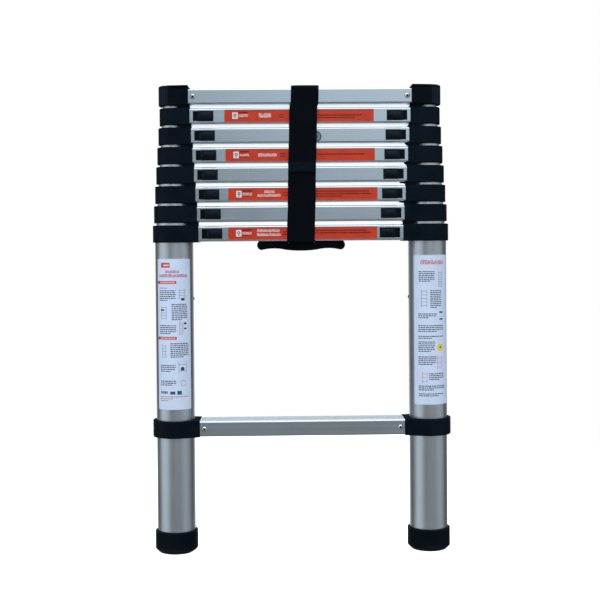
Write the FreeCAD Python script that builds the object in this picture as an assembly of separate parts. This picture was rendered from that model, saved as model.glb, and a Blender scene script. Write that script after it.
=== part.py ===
import FreeCAD, Part
import math
import os

from FreeCAD import Vector

# A telescoping ladder of eight tube sections and nine rungs, stored closed and standing upright.
# Millimetres. The origin is on the floor, midway between the two legs; +Z is up and -Y is the front.
# A leg's own pieces are drawn round its tube axis, with +X pointing from the leg towards the rungs
# and z = 0 at the middle height of the rung they belong to. leg_pair() then sets them in place.

# ---- driving dimensions -------------------------------------------------------------------------
SECTIONS = 8                # tube sections, numbered 1 (outermost) to 8 (innermost)
CLOSED_PITCH = 30.0         # rung to rung in the closed stack
OPEN_PITCH = 300.0          # rung to rung when a section is fully out
BOTTOM_RUNG_Z = 192.0       # middle height of the fixed bottom rung
LEG_X = 196.5               # each tube axis, from the middle of the ladder

TUBE_RADIUS = 29.5          # outside radius of section 1
TUBE_STEP = 2.0             # each section is this much smaller in radius
TUBE_WALL = 1.2
TUBE_TOP = 9.2              # a tube ends this far above the middle of its rung
TUBE_TAIL = 25.0            # tube left below its lock hole
SLIP_GAP = 0.3              # clearance round everything that slides
GUIDE_FLANGE = 3.0          # slip guide, below the end of its tube
GUIDE_SKIRT = 14.0          # slip guide, up the outside of its tube

RUNG_HEIGHT = 24.4
RUNG_DEPTH = 46.0
RUNG_WALL = 1.6
RUNG_TREAD_WALL = 2.2
RUNG_CORNER = 3.0
RUNG_INNER_CORNER = 1.2
TREAD_GROOVES = 9
TREAD_GROOVE_PITCH = 4.0
TREAD_GROOVE_WIDTH = 1.4
TREAD_GROOVE_DEPTH = 0.6

COLLAR_WALL = 3.3
COLLAR_HEIGHT = 26.4
COLLAR_FACE_Y = 25.2        # front of the collar's rung socket
SOCKET_REACH = 6.4          # the socket covers this much of the rung's end
COLLAR_EDGE = 0.8
LUG_WIDTH = 16.0            # spacer lug under the front of the collar
LUG_DEPTH = 13.0

CAP_RADIUS = 22.0
CAP_TOP = 17.5
CAP_EDGE = 2.5
CAP_FLUTES = 15
CAP_FLUTE_RADIUS = 0.9
CAP_FLUTE_STEP_DEG = 11.0
CAP_LIP = 3.0               # lip of the cap over the rung's end
CAP_LIP_Z = 15.0

BOTTOM_COLLAR_WALL = 5.4
BOTTOM_COLLAR_REACH = 3.8
BOTTOM_COLLAR_HEIGHT = 25.6
BOTTOM_COLLAR_EDGE = 1.2

SLOT_INSET = 5.0            # from the collar to the button slot
SLOT_LENGTH = 31.0
SLOT_HEIGHT = 15.3
BUTTON_INSET = 7.8          # bare slot outboard of the thumb pad
BUTTON_LENGTH = 23.7
BUTTON_HEIGHT = 15.8
BUTTON_PROUD = 2.5
BUTTON_EDGE = 0.9
LATCH_TRAVEL = 8.0
STEM_LENGTH = 14.0
SLIDE_THICKNESS = 2.5
SLIDE_HEIGHT = 19.0
WEB_INSET = 16.0            # web that joins the slide to the pin, from the tube's surface
WEB_LENGTH = 10.0
WEB_HEIGHT = 13.0
WEB_BACK_Y = 6.0
PIN_RADIUS = 4.5
PIN_IN_WEB = 6.0
PIN_FIT = 0.05
LOCK_HOLE_RADIUS = 5.1
SPIGOT_RADIUS = 2.4
SPIGOT_LENGTH = 8.0
SPRING_LENGTH = 24.0
SPRING_RADIUS = 3.6
SPRING_WIRE = 0.5
SPRING_TURNS = 6
SEAT_THICKNESS = 4.0
TONGUE_THICKNESS = 2.0
TONGUE_FRONT_Y = -17.5
TONGUE_BACK_Y = 20.0
PLUG_LENGTH = 14.0          # solid plug inside the ends of the screwed rungs

SCREW_INSET = 6.8
SCREW_HEAD_RADIUS = 4.1
SCREW_HEAD_HEIGHT = 2.0
SCREW_SHANK_RADIUS = 1.75
SCREW_LENGTH = 12.0
SCREW_RECESS_WIDTH = 0.9
SCREW_RECESS_LENGTH = 3.8
SCREW_RECESS_DEPTH = 1.1
RIVET_Z = 392.0
RIVET_RADIUS = 2.2
RIVET_PROUD = 1.0
RIVET_SHANK_RADIUS = 1.2

FOOT_RADIUS = 33.0
FOOT_HEIGHT = 34.0
FOOT_FLOOR = 5.0
FOOT_CHAMFER = 5.5
FOOT_RIM_EDGE = 1.5
FOOT_BEVEL_START = 10.0     # the sole rises from here, so that it is flat when the ladder leans
FOOT_BEVEL_DEG = 13.0
LEFT_FOOT_TWIST = -65.0     # the left foot is turned on its tube

HANDLE_LENGTH = 136.0
HANDLE_DEPTH = 30.0
HANDLE_DROP = 15.0
HANDLE_END_DROP = 13.6
HANDLE_WAIST_DROP = 11.3
HANDLE_SHOULDER = 3.0       # top corners, in from the ends
HANDLE_LOBE = 7.0           # lowest point of each end, in from the end
HANDLE_LOBE_DROP = 6.0      # widest point of each end
HANDLE_WAIST_X = 40.0       # shallowest point of each finger scallop
HANDLE_BELLY_X = 24.0
HANDLE_BELLY_DROP = 13.4

STRAP_WIDTH = 41.5
STRAP_THICKNESS = 1.6
STRAP_GAP = 0.4             # between the strap and the rungs it lies on
STRAP_TOP_X = 6.5           # the strap runs slightly aslant
STRAP_BOTTOM_X = 0.6
STRAP_CHANNEL_WIDTH = 46.0
STRAP_CHANNEL_DEPTH = 2.6
FLAP_END_ABOVE_RUNG_4 = 4.0
INNER_LAYER_TOP = 48.0      # the front inner layer ends this far below the top rung

CLEAR = 1.0                 # cutters stand out, and fused pieces reach in, this far
TINY = 1e-6

# ---- worked out from them -----------------------------------------------------------------------
HALF_RUNG = RUNG_HEIGHT / 2
RUNG_FACE_Y = RUNG_DEPTH / 2
HALF_COLLAR = COLLAR_HEIGHT / 2
FIRST_RUNG_Z = BOTTOM_RUNG_Z + OPEN_PITCH
TOP_RUNG_Z = FIRST_RUNG_Z + (SECTIONS - 1) * CLOSED_PITCH
LUG_BOTTOM = HALF_COLLAR - CLOSED_PITCH
CAVITY_Y = RUNG_FACE_Y - RUNG_WALL
CAVITY_TOP = HALF_RUNG - RUNG_TREAD_WALL
CAVITY_BOTTOM = RUNG_WALL - HALF_RUNG


def tube_radius(section):
    return TUBE_RADIUS - (section - 1) * TUBE_STEP


def rung_z(rung):
    if rung == 0:
        return BOTTOM_RUNG_Z
    return FIRST_RUNG_Z + (rung - 1) * CLOSED_PITCH


def rung_section(rung):
    """The tube section whose tubes a rung's collars hold."""
    return max(rung, 1)


def rung_end(rung):
    """Distance from the tube axis to the end of the rung."""
    wall = BOTTOM_COLLAR_WALL if rung == 0 else COLLAR_WALL
    return tube_radius(rung_section(rung)) + wall


def socket_face(rung):
    """Distance from the tube axis to where the bare rung starts."""
    return rung_end(rung) + (BOTTOM_COLLAR_REACH if rung == 0 else SOCKET_REACH)


# ---- helpers ------------------------------------------------------------------------------------
def box(x0, x1, y0, y1, z0, z1):
    return Part.makeBox(x1 - x0, y1 - y0, z1 - z0, Vector(x0, y0, z0))


def upright(radius, z0, z1):
    return Part.makeCylinder(radius, z1 - z0, Vector(0, 0, z0))


def along_x(radius, x0, x1, y=0.0, z=0.0):
    return Part.makeCylinder(radius, x1 - x0, Vector(x0, y, z), Vector(1, 0, 0))


def ring(outer, inner, z0, z1):
    return upright(outer, z0, z1).cut(upright(inner, z0, z1))


def moved(shape, x=0.0, y=0.0, z=0.0):
    copy = shape.copy()
    copy.translate(Vector(x, y, z))
    return copy


def mirrored(shape):
    return shape.mirror(Vector(0, 0, 0), Vector(1, 0, 0))


def left_leg(shape, z):
    return moved(shape, x=-LEG_X, z=z)


def leg_pair(shape, z):
    """One piece drawn round a tube axis, set on the left leg and mirrored onto the right."""
    left = left_leg(shape, z)
    return [left, mirrored(left)]


def solid_outline(edges, direction):
    return Part.Face(Part.Wire(edges)).extrude(direction)


def polygon(points):
    closed = points + points[:1]
    return [Part.makeLine(a, b) for a, b in zip(closed, closed[1:])]


def rounded_bar(depth_from, depth_to, z_from, z_to, corner, x0, x1):
    """A bar along X with its four long corners rounded."""
    bar = box(x0, x1, depth_from, depth_to, z_from, z_to)
    long_edges = [edge for edge in bar.Edges if abs(edge.BoundBox.XLength - (x1 - x0)) < TINY]
    return bar.makeFillet(corner, long_edges)


def export(name, solids):
    shape = solids[0] if len(solids) == 1 else Part.makeCompound(solids)
    for solid in shape.Solids:
        if not solid.isValid():
            raise ValueError(name + " has an invalid solid")
    shape.exportStep(os.path.join("parts", name + ".step"))


# ---- tubes, guides and feet ---------------------------------------------------------------------
def outer_tube():
    radius = tube_radius(1)
    top = FIRST_RUNG_Z + TUBE_TOP
    tube = ring(radius, radius - TUBE_WALL, FOOT_FLOOR, top)
    pin_hole = along_x(PIN_RADIUS + SLIP_GAP, 0, radius + CLEAR, z=FIRST_RUNG_Z)
    rivet_hole = along_x(RIVET_SHANK_RADIUS, 0, radius + CLEAR, z=RIVET_Z)
    return tube.cut(pin_hole).cut(rivet_hole)


def inner_tube(section):
    radius = tube_radius(section)
    tube = ring(radius, radius - TUBE_WALL, -OPEN_PITCH - TUBE_TAIL, TUBE_TOP)
    tube = tube.cut(along_x(LOCK_HOLE_RADIUS, 0, radius + CLEAR, z=-OPEN_PITCH))
    if section < SECTIONS:
        tube = tube.cut(along_x(PIN_RADIUS + SLIP_GAP, 0, radius + CLEAR))
    return tube


def slip_guide(section):
    """Ring on the lower end of an inner tube, running inside the next tube out."""
    radius = tube_radius(section)
    outer = tube_radius(section - 1) - TUBE_WALL - SLIP_GAP
    end = -OPEN_PITCH - TUBE_TAIL
    flange = ring(outer, radius - TUBE_WALL, end - GUIDE_FLANGE, end)
    skirt = ring(outer, radius, end, end + GUIDE_SKIRT)
    return flange.fuse(skirt).removeSplitter()


def foot():
    """Cup with a chamfered sole whose back part is bevelled."""
    outline = [
        Vector(0, 0, 0),
        Vector(FOOT_RADIUS - FOOT_CHAMFER, 0, 0),
        Vector(FOOT_RADIUS, 0, FOOT_CHAMFER),
        Vector(FOOT_RADIUS, 0, FOOT_HEIGHT - FOOT_RIM_EDGE),
        Vector(FOOT_RADIUS - FOOT_RIM_EDGE, 0, FOOT_HEIGHT),
        Vector(0, 0, FOOT_HEIGHT),
    ]
    cup = Part.Face(Part.Wire(polygon(outline))).revolve(Vector(0, 0, 0), Vector(0, 0, 1), 360)
    wedge = box(-2 * FOOT_RADIUS, 2 * FOOT_RADIUS, 0, 2 * FOOT_RADIUS, -FOOT_HEIGHT, 0)
    wedge.rotate(Vector(0, 0, 0), Vector(1, 0, 0), FOOT_BEVEL_DEG)
    wedge.translate(Vector(0, FOOT_BEVEL_START, 0))
    return cup.cut(upright(TUBE_RADIUS, FOOT_FLOOR, FOOT_HEIGHT)).cut(wedge)


def feet():
    left = foot()
    left.rotate(Vector(0, 0, 0), Vector(0, 0, 1), LEFT_FOOT_TWIST)
    return [moved(left, x=-LEG_X), moved(foot(), x=LEG_X)]


# ---- rungs --------------------------------------------------------------------------------------
def rung(number):
    """Hollow extrusion with a grooved tread, open at both ends."""
    half = LEG_X - rung_end(number)
    bar = rounded_bar(-RUNG_FACE_Y, RUNG_FACE_Y, -HALF_RUNG, HALF_RUNG, RUNG_CORNER, -half, half)
    cavity = rounded_bar(
        -CAVITY_Y, CAVITY_Y, CAVITY_BOTTOM, CAVITY_TOP, RUNG_INNER_CORNER, -half - CLEAR, half + CLEAR
    )
    bar = bar.cut(cavity)
    first = -TREAD_GROOVE_PITCH * (TREAD_GROOVES - 1) / 2
    for index in range(TREAD_GROOVES):
        y = first + index * TREAD_GROOVE_PITCH
        bar = bar.cut(
            box(
                -half, half,
                y - TREAD_GROOVE_WIDTH / 2, y + TREAD_GROOVE_WIDTH / 2,
                HALF_RUNG - TREAD_GROOVE_DEPTH, HALF_RUNG + CLEAR,
            )
        )
    if number in (0, SECTIONS):
        cutter = screw_hole(number, SCREW_SHANK_RADIUS + PIN_FIT)
    else:
        start = socket_face(number) + SLOT_INSET
        cutter = box(
            start, start + SLOT_LENGTH,
            -RUNG_FACE_Y - CLEAR, -CAVITY_Y + CLEAR, -SLOT_HEIGHT / 2, SLOT_HEIGHT / 2,
        )
    for side in leg_pair(cutter, 0):
        bar = bar.cut(side)
    return moved(bar, z=rung_z(number))


def screw_hole(number, radius):
    x = socket_face(number) + SCREW_INSET
    return Part.makeCylinder(radius, SCREW_LENGTH, Vector(x, -RUNG_FACE_Y, 0), Vector(0, 1, 0))


# ---- collars ------------------------------------------------------------------------------------
def collar_outline(radius, shoulder, face):
    """A round band whose sides run straight, as tangents, into the rung socket."""
    turn = 2 * math.atan2(COLLAR_FACE_Y, shoulder)
    if radius < shoulder:
        reach = math.hypot(shoulder, COLLAR_FACE_Y)
        turn = math.atan2(COLLAR_FACE_Y, shoulder) + math.acos(radius / reach)
    touch = Vector(radius * math.cos(turn), radius * math.sin(turn), 0)
    back = Vector(touch.x, -touch.y, 0)
    band = Part.Arc(touch, Vector(-radius, 0, 0), back).toShape()
    corners = [
        back,
        Vector(shoulder, -COLLAR_FACE_Y, 0),
        Vector(face, -COLLAR_FACE_Y, 0),
        Vector(face, COLLAR_FACE_Y, 0),
        Vector(shoulder, COLLAR_FACE_Y, 0),
        touch,
    ]
    return [band] + [Part.makeLine(a, b) for a, b in zip(corners, corners[1:])]


def collar_block(radius, shoulder, face, z0, z1, edge):
    block = solid_outline(collar_outline(radius, shoulder, face), Vector(0, 0, z1 - z0))
    block.translate(Vector(0, 0, z0))
    rims = [e for e in block.Edges if e.BoundBox.ZLength < TINY]
    return block.makeChamfer(edge, rims)


def rung_socket(number, block):
    """Cuts the rung's end out of a collar block."""
    bar = rounded_bar(
        -RUNG_FACE_Y, RUNG_FACE_Y, -HALF_RUNG, HALF_RUNG, RUNG_CORNER,
        rung_end(number), socket_face(number) + CLEAR,
    )
    return block.cut(bar)


def tongue(radius):
    """Floor and spring seat that reach from the collar into the rung."""
    start = radius + CLEAR
    seat = radius + WEB_INSET + WEB_LENGTH + SPRING_LENGTH
    bottom = CAVITY_BOTTOM + SLIP_GAP
    floor = box(
        start, seat + SEAT_THICKNESS, TONGUE_FRONT_Y, TONGUE_BACK_Y, bottom, bottom + TONGUE_THICKNESS
    )
    wall = box(
        seat, seat + SEAT_THICKNESS, TONGUE_FRONT_Y, TONGUE_BACK_Y, bottom, CAVITY_TOP - SLIP_GAP
    )
    return floor.fuse(wall)


def plug(number):
    """Solid plug inside the end of a screwed rung."""
    start = rung_end(number) - CLEAR
    body = rounded_bar(
        SLIP_GAP - CAVITY_Y, CAVITY_Y - SLIP_GAP, CAVITY_BOTTOM + SLIP_GAP, CAVITY_TOP - SLIP_GAP,
        RUNG_INNER_CORNER, start, socket_face(number) + PLUG_LENGTH,
    )
    return body.cut(screw_hole(number, SCREW_SHANK_RADIUS + PIN_FIT))


def spacer_lug(section):
    """Block under the collar that stands on the collar below."""
    face = socket_face(section - 1)
    front = -COLLAR_FACE_Y + COLLAR_EDGE
    lug = box(face - LUG_WIDTH, face, front, front + LUG_DEPTH, LUG_BOTTOM, -HALF_RUNG)
    socket = box(
        rung_end(section), face + CLEAR, -RUNG_FACE_Y, RUNG_FACE_Y, -HALF_RUNG, 0
    )
    return lug.cut(socket)


def latch_collar(section):
    radius = tube_radius(section)
    band = radius + COLLAR_WALL
    body = collar_block(band, band, socket_face(section), -HALF_COLLAR, HALF_COLLAR, COLLAR_EDGE)
    body = rung_socket(section, body).fuse(tongue(radius))
    if section > 1:
        body = body.fuse(spacer_lug(section))
    body = body.cut(upright(radius, LUG_BOTTOM - CLEAR, TUBE_TOP))
    body = body.cut(upright(tube_radius(section + 1) + SLIP_GAP, TUBE_TOP, HALF_COLLAR + CLEAR))
    body = body.cut(along_x(PIN_RADIUS + SLIP_GAP, 0, socket_face(section)))
    return body.removeSplitter()


def end_cap():
    radius = tube_radius(SECTIONS)
    face = socket_face(SECTIONS)
    body = collar_block(CAP_RADIUS, CAP_RADIUS, face, -HALF_COLLAR, CAP_TOP, CAP_EDGE / 2)
    for index in range(CAP_FLUTES):
        angle = math.radians(180 + CAP_FLUTE_STEP_DEG * (index - (CAP_FLUTES - 1) / 2))
        flute = Part.makeCylinder(
            CAP_FLUTE_RADIUS, CAP_TOP + HALF_COLLAR,
            Vector(
                (CAP_RADIUS + CAP_FLUTE_RADIUS / 2) * math.cos(angle),
                (CAP_RADIUS + CAP_FLUTE_RADIUS / 2) * math.sin(angle),
                -HALF_COLLAR,
            ),
        )
        body = body.cut(flute)
    lip_half = COLLAR_FACE_Y - CAP_EDGE
    lip = solid_outline(
        polygon([
            Vector(face - CLEAR, -lip_half, HALF_RUNG),
            Vector(face + CAP_LIP, -lip_half, HALF_RUNG),
            Vector(face - CLEAR, -lip_half, CAP_LIP_Z),
        ]),
        Vector(0, 2 * lip_half, 0),
    )
    body = rung_socket(SECTIONS, body).fuse(lip).fuse(plug(SECTIONS)).fuse(spacer_lug(SECTIONS))
    body = body.cut(upright(radius, LUG_BOTTOM - CLEAR, TUBE_TOP))
    return body.removeSplitter()


def bottom_collar():
    radius = tube_radius(1)
    half = BOTTOM_COLLAR_HEIGHT / 2
    body = collar_block(
        radius + BOTTOM_COLLAR_WALL, rung_end(0), socket_face(0), -half, half, BOTTOM_COLLAR_EDGE / 2
    )
    body = rung_socket(0, body).fuse(plug(0))
    return body.cut(upright(radius, -half - CLEAR, half + CLEAR)).removeSplitter()


# ---- latches ------------------------------------------------------------------------------------
def latch(section):
    """Thumb pad, slide and web in one moulding, and the steel lock pin that it carries."""
    radius = tube_radius(section)
    slot = socket_face(section) + SLOT_INSET
    pad_start = slot + BUTTON_INSET
    pad_back = -RUNG_FACE_Y - SLIP_GAP
    slide_front = -CAVITY_Y + SLIP_GAP
    pad = box(
        pad_start, pad_start + BUTTON_LENGTH,
        pad_back - BUTTON_PROUD, pad_back, -BUTTON_HEIGHT / 2, BUTTON_HEIGHT / 2,
    )
    face_edges = [e for e in pad.Edges if e.BoundBox.YMax < pad_back - BUTTON_PROUD + TINY]
    pad = pad.makeFillet(BUTTON_EDGE, face_edges)
    stem = box(
        pad_start + 2 * SLIP_GAP, pad_start + 2 * SLIP_GAP + STEM_LENGTH,
        pad_back, slide_front, SLIP_GAP - SLOT_HEIGHT / 2, SLOT_HEIGHT / 2 - SLIP_GAP,
    )
    slide = box(
        slot - LATCH_TRAVEL - CLEAR, slot + SLOT_LENGTH + 2 * CLEAR,
        slide_front, slide_front + SLIDE_THICKNESS, -SLIDE_HEIGHT / 2, SLIDE_HEIGHT / 2,
    )
    web_start = radius + WEB_INSET
    web = box(
        web_start, web_start + WEB_LENGTH,
        slide_front + SLIDE_THICKNESS, WEB_BACK_Y, -WEB_HEIGHT / 2, WEB_HEIGHT / 2,
    )
    spigot = along_x(SPIGOT_RADIUS, web_start + WEB_LENGTH, web_start + WEB_LENGTH + SPIGOT_LENGTH)
    moulding = slide.fuse([stem, pad, web, spigot]).removeSplitter()
    moulding = moulding.cut(along_x(PIN_RADIUS + PIN_FIT, web_start, web_start + PIN_IN_WEB))
    pin = along_x(PIN_RADIUS, tube_radius(section + 1) + SLIP_GAP, web_start + PIN_IN_WEB)
    return [moulding, pin]


def latch_spring(section):
    start = tube_radius(section) + WEB_INSET + WEB_LENGTH + SPRING_WIRE + PIN_FIT
    height = SPRING_LENGTH - 2 * (SPRING_WIRE + PIN_FIT)
    helix = Part.makeHelix(height / SPRING_TURNS, height, SPRING_RADIUS)
    section_wire = Part.Wire(Part.makeCircle(SPRING_WIRE, Vector(SPRING_RADIUS, 0, 0), Vector(0, 1, 0)))
    coil = Part.Wire(helix.Edges).makePipeShell([section_wire], True, True)
    coil.rotate(Vector(0, 0, 0), Vector(0, 1, 0), 90)
    return moved(coil, x=start)


# ---- screws and rivets --------------------------------------------------------------------------
def screw(number):
    """Pan-head screw through the front of a rung into the plug behind it."""
    x = socket_face(number) + SCREW_INSET
    dome_radius = (SCREW_HEAD_RADIUS ** 2 + SCREW_HEAD_HEIGHT ** 2) / (2 * SCREW_HEAD_HEIGHT)
    ball = Part.makeSphere(dome_radius, Vector(0, dome_radius - SCREW_HEAD_HEIGHT, 0))
    head = ball.common(box(-dome_radius, dome_radius, -SCREW_HEAD_HEIGHT, 0, -dome_radius, dome_radius))
    shank = Part.makeCylinder(SCREW_SHANK_RADIUS, SCREW_LENGTH - CLEAR, Vector(0, 0, 0), Vector(0, 1, 0))
    half_width = SCREW_RECESS_WIDTH / 2
    half_length = SCREW_RECESS_LENGTH / 2
    bottom = SCREW_RECESS_DEPTH - SCREW_HEAD_HEIGHT
    cross = box(-half_length, half_length, -dome_radius, bottom, -half_width, half_width).fuse(
        box(-half_width, half_width, -dome_radius, bottom, -half_length, half_length)
    )
    return moved(head.fuse(shank).cut(cross), x=x, y=-RUNG_FACE_Y)


def rivet():
    """Small domed rivet on the inner side of the outer tube."""
    radius = tube_radius(1)
    head = along_x(RIVET_RADIUS, radius - TUBE_WALL, radius + RIVET_PROUD)
    head = head.cut(upright(radius, -RIVET_RADIUS - CLEAR, RIVET_RADIUS + CLEAR))
    shank = along_x(RIVET_SHANK_RADIUS - PIN_FIT, radius - TUBE_WALL, radius)
    return head.fuse(shank).removeSplitter()


# ---- handle and strap ---------------------------------------------------------------------------
def carry_handle():
    """Grip with two finger scallops, drawn from the front and given depth."""
    half = HANDLE_LENGTH / 2
    front = -HANDLE_DEPTH / 2

    def arc(*points):
        return Part.Arc(*(Vector(x, front, -drop) for x, drop in points)).toShape()

    def end_lobe(side):
        return arc(
            (side * (half - HANDLE_SHOULDER), 0), (side * half, HANDLE_LOBE_DROP),
            (side * (half - HANDLE_LOBE), HANDLE_END_DROP),
        )

    def scallop(side):
        return arc(
            (side * (half - HANDLE_LOBE), HANDLE_END_DROP), (side * HANDLE_WAIST_X, HANDLE_WAIST_DROP),
            (side * HANDLE_BELLY_X, HANDLE_BELLY_DROP),
        )

    belly = arc(
        (HANDLE_BELLY_X, HANDLE_BELLY_DROP), (0, HANDLE_DROP), (-HANDLE_BELLY_X, HANDLE_BELLY_DROP)
    )
    top_half = half - HANDLE_SHOULDER
    top = Part.makeLine(Vector(top_half, front, 0), Vector(-top_half, front, 0))
    outline = [end_lobe(1), scallop(1), belly, scallop(-1), end_lobe(-1), top]
    body = solid_outline(outline, Vector(0, HANDLE_DEPTH, 0))
    channel = box(
        -STRAP_CHANNEL_WIDTH / 2, STRAP_CHANNEL_WIDTH / 2, front, -front, -STRAP_CHANNEL_DEPTH, 0
    )
    return moved(body.cut(channel), z=FIRST_RUNG_Z - HALF_RUNG)


def slanted(shape, z_low, z_high):
    """Trims a wide shape to the strap's width and slant."""
    half = STRAP_WIDTH / 2
    low = FIRST_RUNG_Z - HALF_RUNG
    high = TOP_RUNG_Z + HALF_RUNG
    slope = (STRAP_TOP_X - STRAP_BOTTOM_X) / (high - low)
    x_low = STRAP_BOTTOM_X + slope * (z_low - low)
    x_high = STRAP_BOTTOM_X + slope * (z_high - low)
    front = -2 * RUNG_FACE_Y
    outline = polygon([
        Vector(x_low - half, front, z_low),
        Vector(x_low + half, front, z_low),
        Vector(x_high + half, front, z_high),
        Vector(x_high - half, front, z_high),
    ])
    return shape.common(solid_outline(outline, Vector(0, -2 * front, 0)))


def strap():
    """The strap lies down the back, over the top rung and down the front as a flap.

    Its front inner layer, which the flap presses onto, is a second solid.
    """
    low = FIRST_RUNG_Z - HALF_RUNG
    wide = 2 * STRAP_WIDTH
    back_y = RUNG_FACE_Y + STRAP_GAP
    inner_front = -RUNG_FACE_Y - STRAP_GAP
    flap_y = inner_front - STRAP_THICKNESS
    top = TOP_RUNG_Z + HALF_RUNG + STRAP_GAP
    corner = RUNG_CORNER + STRAP_GAP
    outer = rounded_bar(
        flap_y - STRAP_THICKNESS, back_y + STRAP_THICKNESS, low - wide, top + STRAP_THICKNESS,
        corner + STRAP_THICKNESS, -wide, wide,
    )
    inner = rounded_bar(flap_y, back_y, low - wide, top, corner, -wide - CLEAR, wide + CLEAR)
    hoop = outer.cut(inner).cut(box(-wide, wide, -wide, wide, low - 2 * wide, low))
    flap_end = rung_z(4) + FLAP_END_ABOVE_RUNG_4
    hoop = hoop.cut(box(-wide, wide, -wide, flap_y, low - CLEAR, flap_end))
    layer_top = TOP_RUNG_Z - INNER_LAYER_TOP
    layer = box(-wide, wide, flap_y, inner_front, low, layer_top)
    high = top + STRAP_THICKNESS
    return [slanted(hoop, low, high), slanted(layer, low, layer_top)]


def strap_base():
    """The stretch of strap that crosses under rung 1, through the handle's channel."""
    low = FIRST_RUNG_Z - HALF_RUNG
    reach = RUNG_FACE_Y + STRAP_GAP + STRAP_THICKNESS
    bottom = low - STRAP_GAP - STRAP_THICKNESS
    half = STRAP_WIDTH / 2
    floor = box(-half, half, -reach, reach, bottom, bottom + STRAP_THICKNESS)
    ends = [
        box(-half, half, y, y + STRAP_THICKNESS, bottom, low - STRAP_GAP / 2)
        for y in (-reach, reach - STRAP_THICKNESS)
    ]
    return moved(floor.fuse(ends).removeSplitter(), x=STRAP_BOTTOM_X)


# ---- the ladder ---------------------------------------------------------------------------------
def main():
    os.makedirs("parts", exist_ok=True)

    export("outer_tubes", leg_pair(outer_tube(), 0))
    export("feet", feet())
    export("bottom_collars", leg_pair(bottom_collar(), BOTTOM_RUNG_Z))
    export("rung_0", [rung(0)])
    rivets = leg_pair(rivet(), RIVET_Z)
    export("base_fasteners", leg_pair(screw(0), BOTTOM_RUNG_Z) + rivets)
    export("top_screws", leg_pair(screw(SECTIONS), TOP_RUNG_Z))
    export("carry_handle", [carry_handle()])
    export("strap_base", [strap_base()])
    export("strap", strap())
    export("end_caps", leg_pair(end_cap(), TOP_RUNG_Z))

    for section in range(1, SECTIONS + 1):
        z = rung_z(section)
        export(f"rung_{section}", [rung(section)])
        if section > 1:
            export(f"tubes_{section}", leg_pair(inner_tube(section), z))
            export(f"slip_guides_{section}", leg_pair(slip_guide(section), z))
        if section < SECTIONS:
            export(f"collars_{section}", leg_pair(latch_collar(section), z))
            export(f"latch_springs_{section}", leg_pair(latch_spring(section), z))
            left = [left_leg(piece, z) for piece in latch(section)]
            export(f"latch_{section}_left", left)
            export(f"latch_{section}_right", [mirrored(piece) for piece in left])


main()
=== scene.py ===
import math
import random

import bmesh
import bpy
from mathutils import Matrix, Vector


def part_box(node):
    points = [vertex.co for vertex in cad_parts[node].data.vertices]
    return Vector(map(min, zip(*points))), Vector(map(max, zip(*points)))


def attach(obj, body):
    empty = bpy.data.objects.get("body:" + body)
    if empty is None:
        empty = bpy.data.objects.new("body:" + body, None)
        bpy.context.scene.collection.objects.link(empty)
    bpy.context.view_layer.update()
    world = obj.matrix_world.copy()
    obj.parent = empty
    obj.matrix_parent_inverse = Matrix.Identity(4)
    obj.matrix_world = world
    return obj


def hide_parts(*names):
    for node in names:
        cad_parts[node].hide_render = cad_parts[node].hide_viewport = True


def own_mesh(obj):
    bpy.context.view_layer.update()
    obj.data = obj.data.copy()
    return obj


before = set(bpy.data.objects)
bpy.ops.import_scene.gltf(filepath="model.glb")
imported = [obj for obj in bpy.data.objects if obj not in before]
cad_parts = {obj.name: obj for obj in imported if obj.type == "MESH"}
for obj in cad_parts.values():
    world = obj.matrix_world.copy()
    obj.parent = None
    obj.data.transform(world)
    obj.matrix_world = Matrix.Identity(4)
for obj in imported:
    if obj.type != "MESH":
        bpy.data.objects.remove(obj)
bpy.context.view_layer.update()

# The telescoping ladder of the CAD frame: finishes for every CAD part, and new pieces for the strap, the
# carry handle, the thumb grips, the return springs, the end tabs, the labels and a small dark disc. Metres,
# with
# MM for small sizes.
MM = 0.001
SECTIONS = 8
SIDES = (("left", -1), ("right", 1))


# ---- where things are ----------------------------------------------------------------------------
def body_of_section(section):
    return "base" if section == 1 else f"section_{section}"


def rung_centre(rung):
    low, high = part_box(f"rung_{rung}")
    return (low.z + high.z) / 2


def screw_axis(rung, inset):
    """How far out a rung's two screws are, by their inset from its ends, and how high."""
    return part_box(f"rung_{rung}")[1].x - inset, rung_centre(rung)


RUNG_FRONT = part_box("rung_1")[0].y
RUNG_PITCH = rung_centre(2) - rung_centre(1)
TUBE_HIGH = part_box("outer_tubes")[1]
TUBE_RADIUS = TUBE_HIGH.y
LEG_X = TUBE_HIGH.x - TUBE_RADIUS
CAP_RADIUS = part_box("end_caps")[1].x - LEG_X
STRAP_LOW, STRAP_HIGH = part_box("strap")
TOP_SCREW_INSET, LOW_SCREW_INSET = 13.2 * MM, 10.6 * MM


# ---- shader helpers ------------------------------------------------------------------------------
class Nodes:
    """A node tree, and a short way to add to it."""

    def __init__(self, tree):
        self.tree = tree

    def add(self, kind, inputs, **settings):
        node = self.tree.nodes.new("ShaderNode" + kind)
        for key, value in settings.items():
            setattr(node, key, value)
        for key, value in inputs.items():
            self.put(node.inputs[key], value)
        return node

    def put(self, socket, value):
        if isinstance(value, bpy.types.NodeSocket):
            self.tree.links.new(value, socket)
        else:
            socket.default_value = value


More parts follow.
